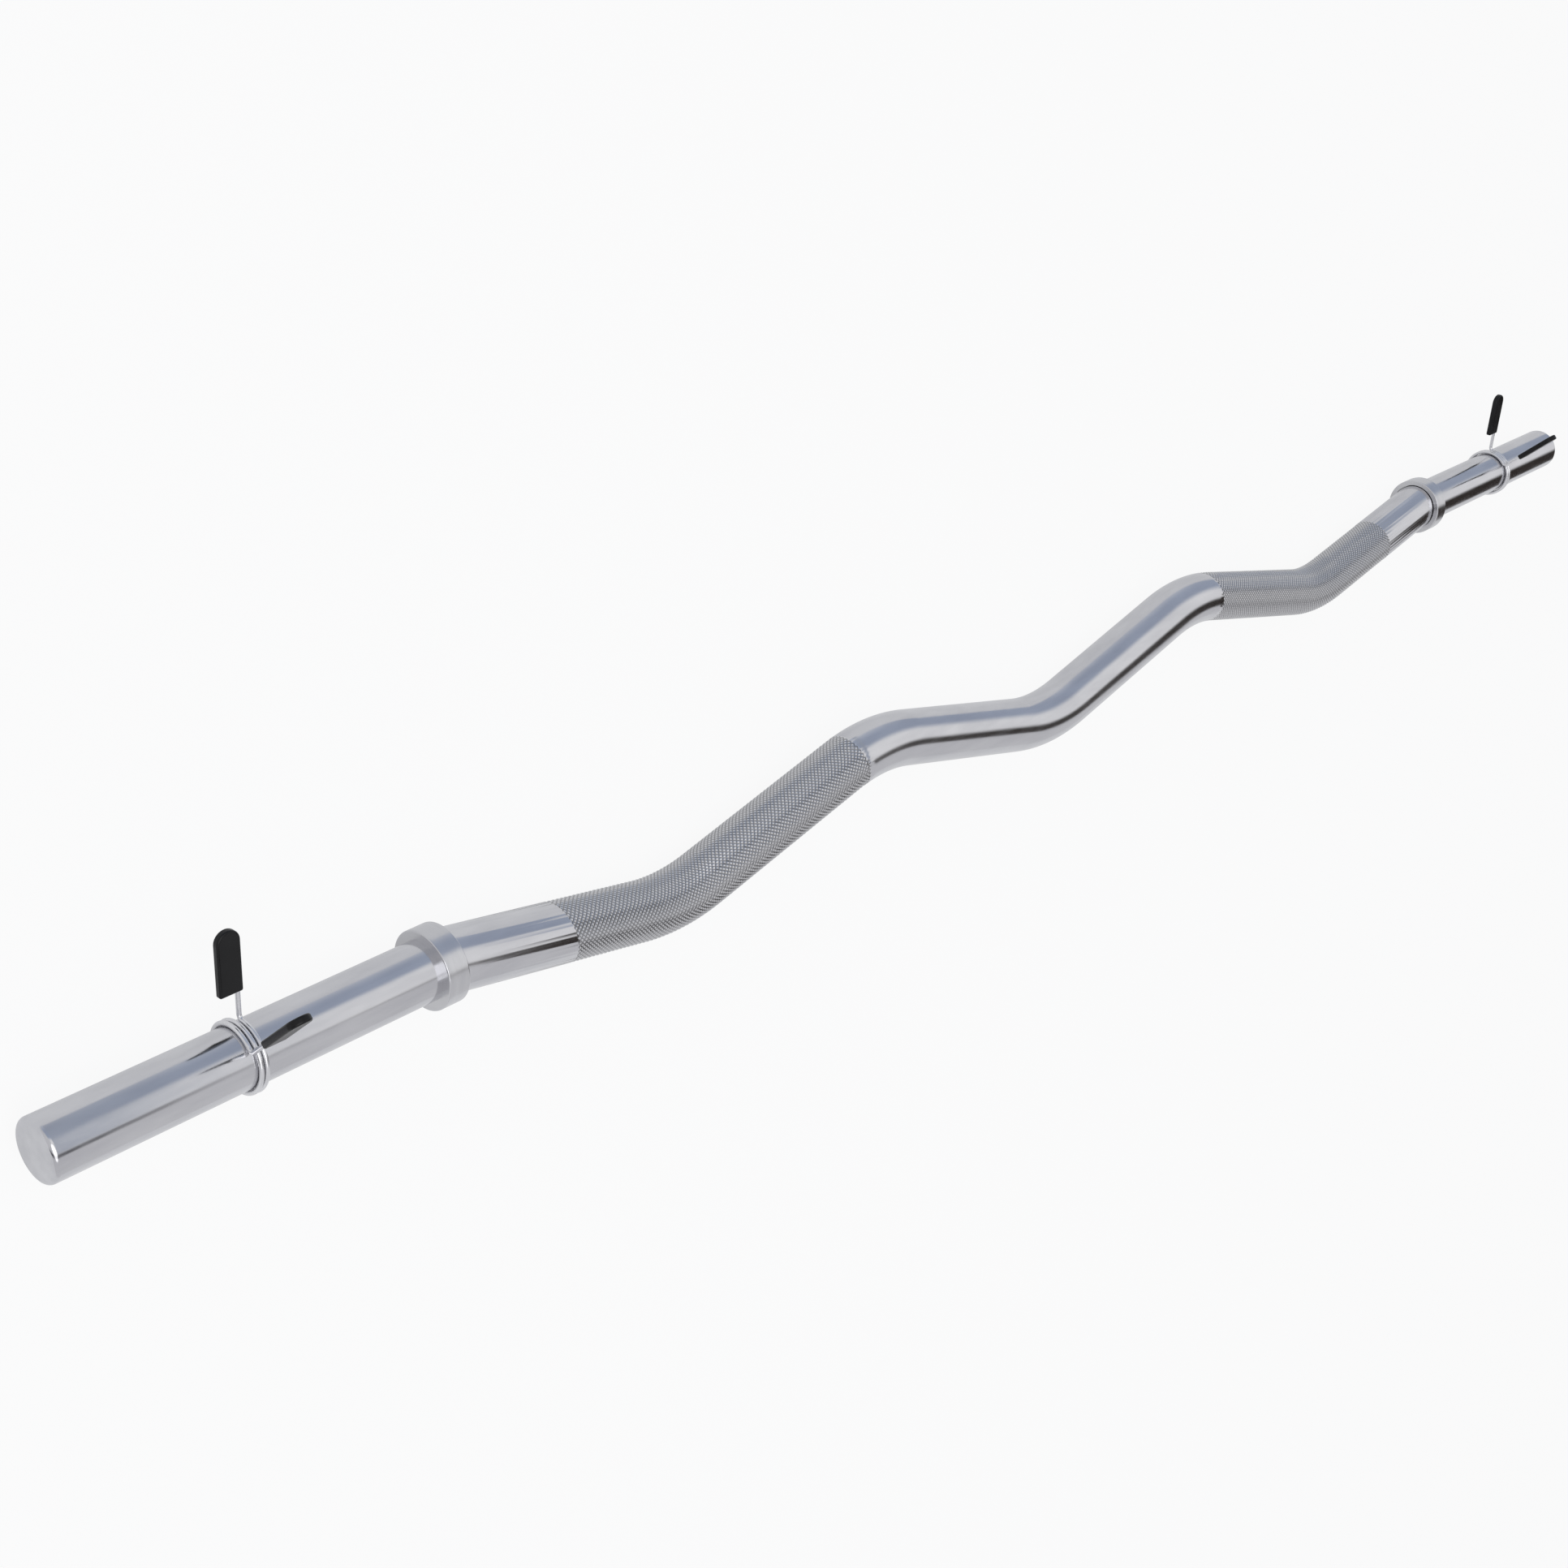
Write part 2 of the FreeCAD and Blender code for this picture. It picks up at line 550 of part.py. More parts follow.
def make_grip(label, end, placement):
    """Make the plastic grip on a wire arm, with the blind hole that the wire sits in."""
    body = doc.addObject("PartDesign::Body", label)
    outline = new_sketch(body, f"{label}_outline", "XY_Plane")
    draw_grip_outline(outline)
    pad = body.newObject("PartDesign::Pad", f"{label}_plate")
    pad.Profile = outline
    pad.SideType = "Symmetric"
    pad.setExpression("Length", bound("grip_thickness"))
    doc.recompute()
    rounding = body.newObject("PartDesign::Fillet", f"{label}_rounding")
    rounding.Base = (pad, edges_named(pad, lambda edge: True))
    rounding.setExpression("Radius", bound("grip_edge_radius"))
    doc.recompute()
    mouth = new_sketch(body, f"{label}_wire_mouth", "XZ_Plane")
    origin = FreeCAD.Vector(0, 0, 0)
    upright = FreeCAD.Vector(0, 0, 1)
    circle = mouth.addGeometry(Part.Circle(origin, upright, value("wire_diameter / 2")))
    mouth.addConstraint(Sketcher.Constraint("Coincident", circle, 3, -1, 1))
    diameter = Sketcher.Constraint("Diameter", circle, value("wire_diameter"))
    tie(mouth, diameter, "wire_diameter")
    hole = body.newObject("PartDesign::Pocket", f"{label}_wire_hole")
    hole.Profile = mouth
    hole.setExpression("Length", bound("grip_wire_depth"))
    doc.recompute()
    if not hole.Shape.Volume < rounding.Shape.Volume:
        raise RuntimeError("the grip's wire hole cuts nothing")
    root, away = arm_root(end)
    start = root + away * (value("grip_start_radius") - root.dot(away))
    add_sub_part(body, label, placement.multiply(facing(away, end, start)))


def make_clip(side_name, placement):
    """Make a spring clip: coil, a held arm and a squeezed arm, each with its grip."""
    make_coil(f"{side_name}_clip_coil", placement)
    for arm_name, end in (("held", -1), ("squeezed", 1)):
        make_arm(f"{side_name}_clip_{arm_name}_arm", end, placement)
        make_grip(f"{side_name}_clip_{arm_name}_grip", end, placement)


# Assembly
def rest_tilt():
    """Give the tilt in degrees that lays both collars and the outer bends on the floor."""
    run_in = math.atan(value(SHAFT_SLOPE))
    rise = value("outer_bend_drop + inner_bend_rise")
    run_out = math.atan2(rise, value("outer_bend_place - inner_bend_place"))
    spread = math.cos((run_in - run_out) / 2) / math.cos((run_in + run_out) / 2)
    depth = value("outer_bend_drop") - value("bend_radius") * (spread - 1)
    return math.degrees(math.asin(value(f"{COLLAR_RADIUS} - shaft_diameter / 2") / depth))


def build():
    upright = FreeCAD.Vector(0, 0, 1)
    as_drawn = FreeCAD.Placement()
    turned_round = FreeCAD.Placement(FreeCAD.Vector(), FreeCAD.Rotation(upright, FULL_TURN / 2))
    make_shaft(as_drawn)
    for side_name, side, placement in (("left", -1, turned_round), ("right", 1, as_drawn)):
        make_sleeve(side_name, placement)
        make_retention(side_name, placement)
        place = side * value(f"{BAR_END} - {side_name}_clip_margin")
        make_clip(side_name, FreeCAD.Placement(FreeCAD.Vector(place, 0, 0), FreeCAD.Rotation()))


def lay_down():
    """Tilt the bar to its rest pose and put the origin under the middle of its outline."""
    along = FreeCAD.Vector(1, 0, 0)
    tilt = FreeCAD.Placement(FreeCAD.Vector(), FreeCAD.Rotation(along, rest_tilt()))
    for item, placement in sub_parts:
        item.Placement = tilt.multiply(placement)
    doc.recompute()
    box = FreeCAD.BoundBox()
    for item, placement in sub_parts:
        box.add(item.Shape.optimalBoundingBox(False, False))
    drop = FreeCAD.Placement(FreeCAD.Vector(0, -box.Center.y, -box.ZMin), FreeCAD.Rotation())
    for item, placement in sub_parts:
        item.Placement = drop.multiply(item.Placement)
    doc.recompute()
    print(f"rest tilt {rest_tilt():.4f} degrees")
    print(f"sleeves' axis at Y {-box.Center.y:.4f}, Z {-box.ZMin:.4f} mm")


def check():
    for item in doc.Objects:
        if "Invalid" in item.State or "Error" in item.State:
            raise RuntimeError(f"{item.Name} failed to build")
    for item, placement in sub_parts:
        if item.Shape.isNull() or not item.Shape.isValid():
            raise RuntimeError(f"{item.Label} has no valid shape")
        if len(item.Shape.Solids) != 1:
            raise RuntimeError(f"{item.Label} is not one solid")


def write():
    os.makedirs("parts", exist_ok=True)
    for item, placement in sub_parts:
        item.Shape.exportStep(f"parts/{item.Label}.step")


build()
lay_down()
check()
write()
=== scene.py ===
import json
import math

import bmesh
import bpy
import numpy as np
from mathutils import Euler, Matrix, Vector


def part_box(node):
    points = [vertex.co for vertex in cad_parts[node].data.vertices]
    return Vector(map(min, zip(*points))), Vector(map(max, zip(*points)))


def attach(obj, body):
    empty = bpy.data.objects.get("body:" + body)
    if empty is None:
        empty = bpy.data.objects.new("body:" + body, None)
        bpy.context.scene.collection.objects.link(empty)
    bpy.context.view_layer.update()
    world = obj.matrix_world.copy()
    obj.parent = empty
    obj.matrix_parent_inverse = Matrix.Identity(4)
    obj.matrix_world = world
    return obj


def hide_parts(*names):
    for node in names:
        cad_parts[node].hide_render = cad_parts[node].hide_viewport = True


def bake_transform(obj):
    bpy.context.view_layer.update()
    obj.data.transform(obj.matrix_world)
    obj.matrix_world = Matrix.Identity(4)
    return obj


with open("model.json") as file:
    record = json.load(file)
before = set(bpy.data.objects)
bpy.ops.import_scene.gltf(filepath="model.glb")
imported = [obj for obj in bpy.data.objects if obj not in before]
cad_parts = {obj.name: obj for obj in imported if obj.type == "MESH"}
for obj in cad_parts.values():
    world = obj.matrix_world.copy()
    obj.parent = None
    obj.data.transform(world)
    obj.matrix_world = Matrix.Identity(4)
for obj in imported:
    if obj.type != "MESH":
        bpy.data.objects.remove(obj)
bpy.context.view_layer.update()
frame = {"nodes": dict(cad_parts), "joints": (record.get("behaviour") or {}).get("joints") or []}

# Sizes in metres and degrees. The bar's own frame has X along the sleeves, Y in the plane of
# the bends and Z square to it; the rest tilt turns it about the sleeves' axis onto the floor.
MM = 0.001
REST_TILT = 9.3102
TILT_COSINE = math.cos(math.radians(REST_TILT))
TILT_SINE = math.sin(math.radians(REST_TILT))
AXIS = Vector(next(j["pos_m"] for j in frame["joints"] if j["name"] == "left_sleeve_spin"))
SIDES = ("left", "right")
SHARP_ANGLE = 28.0

# Bent rod: the corners of its centre line between the two shoulders.
SHAFT_RADIUS = 14.0 * MM
SHOULDER = 414.0 * MM
BEND_CORNERS = [
    (-282.4 * MM, -23.8 * MM),
    (-139.5 * MM, 10.0 * MM),
    (0.0, -23.6 * MM),
    (139.5 * MM, 10.0 * MM),
    (282.4 * MM, -23.8 * MM),
]
BEND_RADIUS = 102.0 * MM
BEND_STEP = 0.75

# Journal inside a sleeve: distance from the shoulder and radius, with the ring's groove.
JOURNAL_RADIUS = 8.0 * MM
JOURNAL_LENGTH = 165.0 * MM
GROOVE_RADIUS = 7.3 * MM
GROOVE_START = 160.8 * MM
GROOVE_END = 162.0 * MM
JOURNAL = [
    (0.0, JOURNAL_RADIUS),
    (GROOVE_START, JOURNAL_RADIUS),
    (GROOVE_START, GROOVE_RADIUS),
    (GROOVE_END, GROOVE_RADIUS),
    (GROOVE_END, JOURNAL_RADIUS),
    (JOURNAL_LENGTH, JOURNAL_RADIUS),
]

# Knurl: pointed diamonds with worn tops, in two rows for each pitch. Each zone has the length
# along the rod of its two edges and how far each edge leans from square.
KNURL_ZONES = [
    ((-358.8 * MM, -0.27), (-161.6 * MM, -0.05)),
    ((161.3 * MM, -0.19), (365.5 * MM, -0.02)),
]
KNURL_PITCH = 2.4 * MM
KNURL_COUNT = 39
KNURL_DEPTH = 0.32 * MM
KNURL_TOP_SHARE = 0.2
KNURL_RUNOUT = 0.5 * MM
RING_STEPS = 4 * KNURL_COUNT
RING_ANGLES = np.arange(RING_STEPS) * 2 * math.pi / RING_STEPS
RING_MARGIN = 4.0 * MM
# Heights in the knurl; the knurl's chrome paints shade where the height is low, in the grooves.
GROOVE_BOTTOM, SURFACE = 0.0, 1.0
PLAIN_FINISH, KNURL_FINISH = 0, 1

# Clip coil: the wire's turns, then a quarter turn outwards and a straight piece at each end.
COIL_RADIUS = 14.5 * MM
WIRE_RADIUS = 1.0 * MM
COIL_PITCH = 2.5 * MM
COIL_TURN = 766.0
COIL_START = 5.0
COIL_STEP = 3.0
WIRE_BEND_RADIUS = 2.5 * MM
WIRE_BEND_ANGLE = 90.0
WIRE_BEND_STEP = 7.5
WIRE_STRAIGHT = 2.0 * MM
WIRE_SIDES = 20

# Materials: how a grain's place is scaled along X, Y and Z, each grain's scale and detail, and
# the part of a noise's range that is used.
ALONG = (1.0, 5.0, 5.0)
ROUND = (5.0, 1.0, 1.0)
EVEN = (1.0, 1.0, 1.0)
CLOUD_GRAIN = (30.0, 4.0)
GLOSS_GRAIN = (90.0, 6.0)
WAVE_GRAIN = (55.0, 2.0)
KNURL_GRAIN = (220.0, 4.0)
MARK_GRAIN = (120.0, 5.0)
MOULD_GRAIN = (2600.0, 3.0)
NOISE_LOW, NOISE_HIGH = 0.3, 0.7
WAVE_HEIGHT = 0.4 * MM
MOULD_HEIGHT = 0.1 * MM
MOULD_STRENGTH = 0.12

# Studio that the metal mirrors: its base colour, and layers that each cover those before. A
# layer has a colour and its fades. A fade has a direction in the bar's own frame, and where
# along that direction it is nothing and where it is full.
ALONG_BAR = (1.0, 0.0, 0.0)
HEIGHT = (0.0, 1.0, 0.0)
FORWARD = (0.0, 0.0, 1.0)
BLUE_SIDE = (0.14, 0.9, -1.0)
GROUND_SIDE = (-1.0, -1.0, -0.02)
STUDIO_BASE = (0.90, 0.90, 0.91)
STUDIO_LAYERS = [
    # Blue side of the room
    ((0.39, 0.44, 0.545), [(BLUE_SIDE, -0.14, 0.22)]),
    # White light behind
    ((1.0, 1.0, 1.0), [(FORWARD, 0.25, -0.75), (ALONG_BAR, 0.92, 0.6)]),
    # Dark far corner
    ((0.036, 0.030, 0.027), [(HEIGHT, -0.04, -0.20), (ALONG_BAR, 0.05, 0.85)]),
    # Blue stripe on the near sleeve
    (
        (0.40, 0.44, 0.52),
        [(ALONG_BAR, 0.25, 0.32), (ALONG_BAR, 0.45, 0.40), (HEIGHT, -0.14, -0.06)],
    ),
    # Grey ground in front
    ((0.66, 0.66, 0.68), [(GROUND_SIDE, -0.415, -0.345)]),
    # Thin dark line on the near sleeve
    (
        (0.05, 0.05, 0.06),
        [(HEIGHT, -0.27, -0.20), (HEIGHT, -0.03, -0.09), (ALONG_BAR, 0.47, 0.40)],
    ),
]

# Plain surroundings: the backdrop has the colour that the floor has for the camera. The shares
# say how much of the floor is plain white to each kind of ray, over its lit colour.
BACKDROP_COLOUR = (0.948, 0.951, 0.952)
FLOOR_REACH = 8.0
FLOOR_COLOUR = (0.62, 0.63, 0.65)
FLOOR_WHITE = (1.0, 1.0, 1.0)
FLOOR_SHARES = {"Is Camera Ray": 0.92, "Is Glossy Ray": 0.5, "Is Transmission Ray": 0.5}
LAMP_PLACE = (-1.0, -0.1, 1.3)
LAMP_TARGET = (-0.45, 0.0, 0.0)
LAMP_SIZE = 1.4
LAMP_POWER = 6.0

# Camera, fitted to the photo
SENSOR_WIDTH = 36.0
LENS = 52.0644
CLIP_START = 0.01
CAMERA_PLACE = (-0.926296, 0.314948, 0.728622)
CAMERA_TURNS = (-9.22416, -47.28388, -11.14353)


def in_row(points):
    """Turn points of the bar's own frame into the row frame."""
    x, y, z = points.T
    row_y = AXIS.y + y * TILT_COSINE - z * TILT_SINE
    row_z = AXIS.z + y * TILT_SINE + z * TILT_COSINE
    return np.stack([x, row_y, row_z], 1)


def add_object(name, data):
    """Put a new object into the scene."""
    thing = bpy.data.objects.new(name, data)
    bpy.context.scene.collection.objects.link(thing)
    return thing


class Skin:
    """Collects the points and faces of one surface in the bar's own frame."""

    def __init__(self):
        self.points, self.heights, self.count = [], [], 0
        self.faces, self.smooth, self.finishes = [], [], []

    def add_points(self, points, height=SURFACE):
        """Add points, all at one height in the knurl, and return their numbers."""
        points = np.asarray(points).reshape(-1, 3)
        first = self.count
        self.points.append(points)
        self.heights.append(np.full(len(points), height))
        self.count += len(points)
        return np.arange(first, self.count)

    def add_faces(self, faces, smooth=True, finish=PLAIN_FINISH):
        faces = [tuple(int(i) for i in face) for face in faces]
        self.faces += faces
        self.smooth += [smooth] * len(faces)
        self.finishes += [finish] * len(faces)

    def bridge(self, low, high):
        """Join two rings of as many points."""
        self.add_faces(np.stack([low, np.roll(low, -1), np.roll(high, -1), high], 1))

    def make_object(self, name, materials):
        mesh = bpy.data.meshes.new(name)
        mesh.from_pydata(in_row(np.concatenate(self.points)).tolist(), [], self.faces)
        mesh.polygons.foreach_set("use_smooth", self.smooth)
        mesh.polygons.foreach_set("material_index", self.finishes)
        for material in materials:
            mesh.materials.append(material)
        surface = bmesh.new()
        surface.from_mesh(mesh)
        bmesh.ops.recalc_face_normals(surface, faces=surface.faces)
        surface.to_mesh(mesh)
        surface.free()
        mesh.set_sharp_from_angle(angle=math.radians(SHARP_ANGLE))
        return add_object(name, mesh)


# Materials
def new_material(name):
    material = bpy.data.materials.new(name)
    material.use_nodes = True
    return material, material.node_tree.nodes, material.node_tree.links


def add_noise(nodes, links, stretch, grain):
    """Add a noise whose grain is stretched along the object's own axes."""
    place = nodes.new("ShaderNodeTexCoord")
    mapping = nodes.new("ShaderNodeMapping")
    mapping.inputs["Scale"].default_value = stretch
    noise = nodes.new("ShaderNodeTexNoise")
    noise.inputs["Scale"].default_value, noise.inputs["Detail"].default_value = grain
    links.new(place.outputs["Object"], mapping.inputs["Vector"])
    links.new(mapping.outputs["Vector"], noise.inputs["Vector"])
    return noise.outputs["Fac"]


def spread(nodes, links, noise, low, high):
    """Turn a noise into a number between two limits."""
    ramp = nodes.new("ShaderNodeMapRange")
    ramp.inputs["From Min"].default_value = NOISE_LOW
    ramp.inputs["From Max"].default_value = NOISE_HIGH
    ramp.inputs["To Min"].default_value = low
    ramp.inputs["To Max"].default_value = high
    links.new(noise, ramp.inputs["Value"])
    return ramp.outputs["Result"]


def add_tint(nodes, links, shader, share, dark, light):
    """Colour the surface between a dark and a light tint."""
    tint = nodes.new("ShaderNodeMix")
    tint.data_type = "RGBA"
    tint.inputs["A"].default_value = (*dark, 1.0)
    tint.inputs["B"].default_value = (*light, 1.0)
    links.new(share, tint.inputs["Factor"])
    links.new(tint.outputs["Result"], shader.inputs["Base Color"])


def add_bump(nodes, links, shader, noise, strength, height):
    bump = nodes.new("ShaderNodeBump")
    bump.inputs["Strength"].default_value = strength
    bump.inputs["Distance"].default_value = height
    links.new(noise, bump.inputs["Height"])
    links.new(bump.outputs["Normal"], shader.inputs["Normal"])


def metal(name, dark, light, rough, stretch, wave_strength):
    """Polished metal with faint cloudy staining, uneven gloss and a slight waviness."""
    material, nodes, links = new_material(name)
    shader = nodes["Principled BSDF"]
    shader.inputs["Metallic"].default_value = 1.0
    clouds = add_noise(nodes, links, stretch, CLOUD_GRAIN)
    add_tint(nodes, links, shader, spread(nodes, links, clouds, 0.0, 1.0), dark, light)
    gloss = add_noise(nodes, links, stretch, GLOSS_GRAIN)
    links.new(spread(nodes, links, gloss, *rough), shader.inputs["Roughness"])
    waves = add_noise(nodes, links, stretch, WAVE_GRAIN)
    add_bump(nodes, links, shader, waves, wave_strength, WAVE_HEIGHT)
    return material


def knurl_metal(name, shaded_groove, top, rough):
    """Chrome on the knurl: duller, with painted shade darkening the grooves."""
    material, nodes, links = new_material(name)
    shader = nodes["Principled BSDF"]
    shader.inputs["Metallic"].default_value = 1.0
    height = nodes.new("ShaderNodeAttribute")
    height.attribute_name = "height"
    # Painted shade: the base colour runs from the light top tint down to the dark tint at the
    # groove bottoms, by height in the knurl.
    add_tint(nodes, links, shader, height.outputs["Fac"], shaded_groove, top)
    gloss = add_noise(nodes, links, EVEN, KNURL_GRAIN)
    links.new(spread(nodes, links, gloss, *rough), shader.inputs["Roughness"])
    return material


def moulded_plastic(name, dark, light, rough, specular):
    """Satin plastic with a fine grain and faint handling marks."""
    material, nodes, links = new_material(name)
    shader = nodes["Principled BSDF"]
    marks = add_noise(nodes, links, EVEN, MARK_GRAIN)
    add_tint(nodes, links, shader, spread(nodes, links, marks, 0.0, 1.0), dark, light)
    links.new(spread(nodes, links, marks, *rough), shader.inputs["Roughness"])
    shader.inputs["Specular IOR Level"].default_value = specular
    grain = add_noise(nodes, links, EVEN, MOULD_GRAIN)
    add_bump(nodes, links, shader, grain, MOULD_STRENGTH, MOULD_HEIGHT)
    return material


polished = metal(
    "polished_chrome",
    dark=(0.60, 0.60, 0.625),
    light=(0.68, 0.68, 0.70),
    rough=(0.12, 0.18),
    stretch=ALONG,
    wave_strength=0.025,
)
collar_finish = metal(
    "collar_chrome",
    dark=(0.60, 0.60, 0.62),
    light=(0.68, 0.68, 0.695),
    rough=(0.17, 0.24),
    stretch=ROUND,
    wave_strength=0.04,
)
wire_finish = metal(
    "spring_wire",
    dark=(0.74, 0.74, 0.76),
    light=(0.84, 0.84, 0.85),
    rough=(0.24, 0.32),
    stretch=EVEN,
    wave_strength=0.05,
)
steel = metal(
    "ground_steel",
    dark=(0.40, 0.40, 0.42),
    light=(0.56, 0.56, 0.57),
    rough=(0.24, 0.38),
    stretch=ROUND,
    wave_strength=0.1,
)
bronze = metal(
    "bearing_bronze",
    dark=(0.42, 0.26, 0.11),
    light=(0.62, 0.42, 0.20),
    rough=(0.26, 0.40),
    stretch=ROUND,
    wave_strength=0.1,
)
knurled = knurl_metal(
    "knurl_chrome",
    # Dark tint painted into the knurl's grooves as shade.
    shaded_groove=(0.26, 0.26, 0.27),
    top=(0.82, 0.82, 0.83),
    rough=(0.20, 0.34),
)
plastic = moulded_plastic(
    "black_grip",
    dark=(0.003, 0.003, 0.0034),
    light=(0.007, 0.007, 0.0075),
    rough=(0.26, 0.36),
    specular=0.28,
)


# Grip shaft
def centre_line():
    """Give the rod's centre line in its plane as points with their directions and lengths."""
    ends = [(-SHOULDER, 0.0), *BEND_CORNERS, (SHOULDER, 0.0)]
    stops = [np.array(stop) for stop in ends]
    places, headings = [stops[0]], []
    for before, corner, after in zip(stops, stops[1:], stops[2:]):
        into = (corner - before) / np.linalg.norm(corner - before)
        out_of = (after - corner) / np.linalg.norm(after - corner)
        turn = math.atan2(into[0] * out_of[1] - into[1] * out_of[0], into @ out_of)
        start = corner - into * BEND_RADIUS * math.tan(abs(turn) / 2)
        side = np.array([-into[1], into[0]]) * math.copysign(1.0, turn)
        steps = math.ceil(abs(math.degrees(turn)) / BEND_STEP)
        if not headings:
            headings.append(into)
        for step in range(steps + 1):
            rolled = abs(turn) * step / steps
            along = into * math.sin(rolled) + side * (1.0 - math.cos(rolled))
            places.append(start + along * BEND_RADIUS)
            headings.append(into * math.cos(rolled) + side * math.sin(rolled))
    places.append(stops[-1])
    headings.append(headings[-1])
    places, headings = np.array(places), np.array(headings)
    lengths = np.r_[0.0, np.cumsum(np.linalg.norm(np.diff(places, axis=0), axis=1))]
    return places, headings, lengths - np.interp(0.0, places[:, 0], lengths)


LINE_PLACES, LINE_HEADINGS, LINE_LENGTHS = centre_line()


def on_rod(length, angle, radius):
    """Give points around the rod at lengths along its centre line."""
    length, angle, radius = np.broadcast_arrays(length, angle, radius)
    x, y = (np.interp(length, LINE_LENGTHS, column) for column in LINE_PLACES.T)
    heading = [np.interp(length, LINE_LENGTHS, column) for column in LINE_HEADINGS.T]
    across = radius * np.cos(angle) / np.hypot(*heading)
    return np.stack([x - heading[1] * across, y + heading[0] * across, radius * np.sin(angle)], -1)


def add_smooth_run(skin, ring, last, start, end):
    """Carry the plain surface from one ring to another, round any bend between."""
    clear = (LINE_LENGTHS > start + RING_MARGIN) & (LINE_LENGTHS < end - RING_MARGIN)
    for length in LINE_LENGTHS[clear]:
        following = skin.add_points(on_rod(length, RING_ANGLES, SHAFT_RADIUS))
        skin.bridge(ring, following)
        ring = following
    skin.bridge(ring, last)


def add_knurl(skin, start, end, leans):
    """Cover a stretch with diamonds and return its first and last plain rings."""

    def leaning(length, angles, radius):
        lean = np.interp(length, (start, end), leans)
        return on_rod(length + lean * SHAFT_RADIUS * np.cos(angles), angles, radius)

    half_pitch = KNURL_PITCH / 2
    half_turn = math.pi / KNURL_COUNT
    rows = 2 * round((end - start - 2 * KNURL_RUNOUT) / KNURL_PITCH)
    first_length = (start + end - rows * half_pitch) / 2
    places = np.arange(KNURL_COUNT)
    crossings = []
    for row in range(rows + 1):
        length = first_length + row * half_pitch
        angles = (2 * places + row % 2) * half_turn
        points = leaning(length, angles, SHAFT_RADIUS - KNURL_DEPTH)
        crossings.append(skin.add_points(points, GROOVE_BOTTOM))
    for row in range(1, rows):
        shift = row % 2
        middle = first_length + row * half_pitch
        angles = (2 * places + 1 + shift) * half_turn
        bases = [
            np.roll(crossings[row - 1], -shift),
            crossings[row],
            np.roll(crossings[row + 1], -shift),
            np.roll(crossings[row], -1),
        ]
        tops = []
        for along, around in ((-1, 0), (0, -1), (1, 0), (0, 1)):
            length = middle + along * KNURL_TOP_SHARE * half_pitch
            angle = angles + around * KNURL_TOP_SHARE * half_turn
            tops.append(skin.add_points(leaning(length, angle, SHAFT_RADIUS)))
        skin.add_faces(np.stack(tops, 1), False, KNURL_FINISH)
        for side in range(4):
            beyond = (side + 1) % 4
            quad = np.stack([bases[side], bases[beyond], tops[beyond], tops[side]], 1)
            skin.add_faces(quad, False, KNURL_FINISH)
    rings = []
    step = RING_STEPS // (2 * KNURL_COUNT)
    edges = ((start, crossings[0], crossings[1]), (end, crossings[-1], crossings[-2]))
    for edge, outer, inner in edges:
        ring = skin.add_points(leaning(edge, RING_ANGLES, SHAFT_RADIUS))
        marks = [np.roll(ring, -mark)[:: 2 * step] for mark in range(2 * step + 1)]
        low = np.stack([outer, *marks[: step + 1], inner], 1)
        high = np.stack([inner, *marks[step:], np.roll(outer, -1)], 1)
        skin.add_faces(np.concatenate([low, high]), False, KNURL_FINISH)
        rings.append(ring)
    return rings


def add_shoulder(skin, side):
    """Run the rod's end on along its slope to the flat shoulder and return its ring."""
    end = 0 if side < 0 else -1
    heading = LINE_HEADINGS[end]
    ring = on_rod(LINE_LENGTHS[end], RING_ANGLES, SHAFT_RADIUS)
    reach = (side * SHOULDER - ring[:, 0]) / heading[0]
    ring[:, 0] += reach * heading[0]
    ring[:, 1] += reach * heading[1]
    return skin.add_points(ring)


def add_journal(skin, ring, side):
    """Turn the shoulder's ring into the stepped round end inside the sleeve."""
    for along, radius in JOURNAL:
        x = np.full(RING_STEPS, side * (SHOULDER + along))
        circle = np.stack([x, np.cos(RING_ANGLES) * radius, np.sin(RING_ANGLES) * radius], 1)
        following = skin.add_points(circle)
        pair = (ring, following) if side > 0 else (following, ring)
        skin.bridge(*pair)
        ring = following
    skin.add_faces([ring if side > 0 else ring[::-1]], False)


def make_shaft():
    """Make the bent rod with its two knurled grips and the journals inside the sleeves."""
    skin = Skin()
    left_end, right_end = add_shoulder(skin, -1), add_shoulder(skin, 1)
    ring, place = left_end, LINE_LENGTHS[0]
    for (start, start_lean), (end, end_lean) in KNURL_ZONES:
        first, last = add_knurl(skin, start, end, (start_lean, end_lean))
        add_smooth_run(skin, ring, first, place, start)
        ring, place = last, end
    add_smooth_run(skin, ring, right_end, place, LINE_LENGTHS[-1])
    add_journal(skin, left_end, -1)
    add_journal(skin, right_end, 1)
    shaft = skin.make_object("bent_shaft", [polished, knurled])
    # Height in the knurl, from groove bottom to surface; the knurl's chrome paints shade into the
    # grooves by it.
    height = shaft.data.attributes.new("height", "FLOAT", "POINT")
    height.data.foreach_set("value", np.concatenate(skin.heights).astype(np.float32))
    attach(shaft, "shaft")
    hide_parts("grip_shaft")


